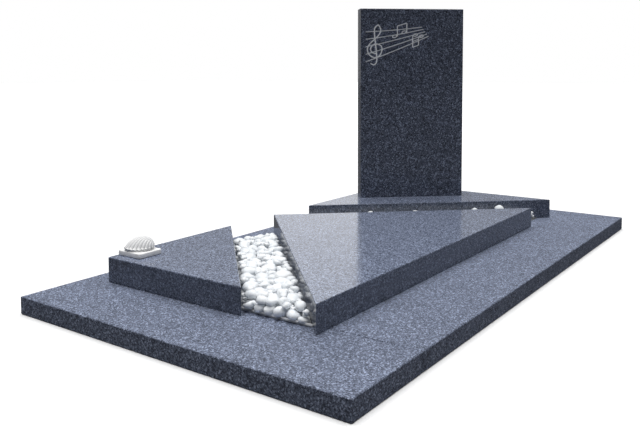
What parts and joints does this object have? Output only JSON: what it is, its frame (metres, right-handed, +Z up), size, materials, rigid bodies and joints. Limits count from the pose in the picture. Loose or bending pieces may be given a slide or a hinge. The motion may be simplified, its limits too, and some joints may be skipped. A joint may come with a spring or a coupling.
{
  "type": "grave monument with upright headstone",
  "caption": "Granite grave monument: an engraved upright headstone on a low tier of triangular slabs with strips of white pebbles.",
  "frame": {"origin": "middle of the base's underside", "axes": "+Z up, +Y from the foot end to the head end, +X to the right seen from the foot"},
  "size_m": [1.1, 2.1, 0.9386],
  "materials": {
    "base_granite": "honed blue-grey granite with fine pale speckle",
    "tier_granite": "polished dark blue-grey granite with fine pale speckle",
    "headstone_granite": "polished dark blue-grey granite, engraved lines light grey",
    "pebbles": "tumbled white marble pebbles, matt",
    "ornament": "white cast stone, slightly weathered in the grooves"
  },
  "bodies": {
    "root": {"base_foot_slab": "base_granite", "base_main_slab": "base_granite", "foot_tablet": "tier_granite", "centre_tablet": "tier_granite", "headstone_plinth": "tier_granite", "headstone": "headstone_granite", "foot_pebbles": "pebbles", "head_pebbles": "pebbles", "shell_ornament": "ornament"}
  },
  "joints": []
}
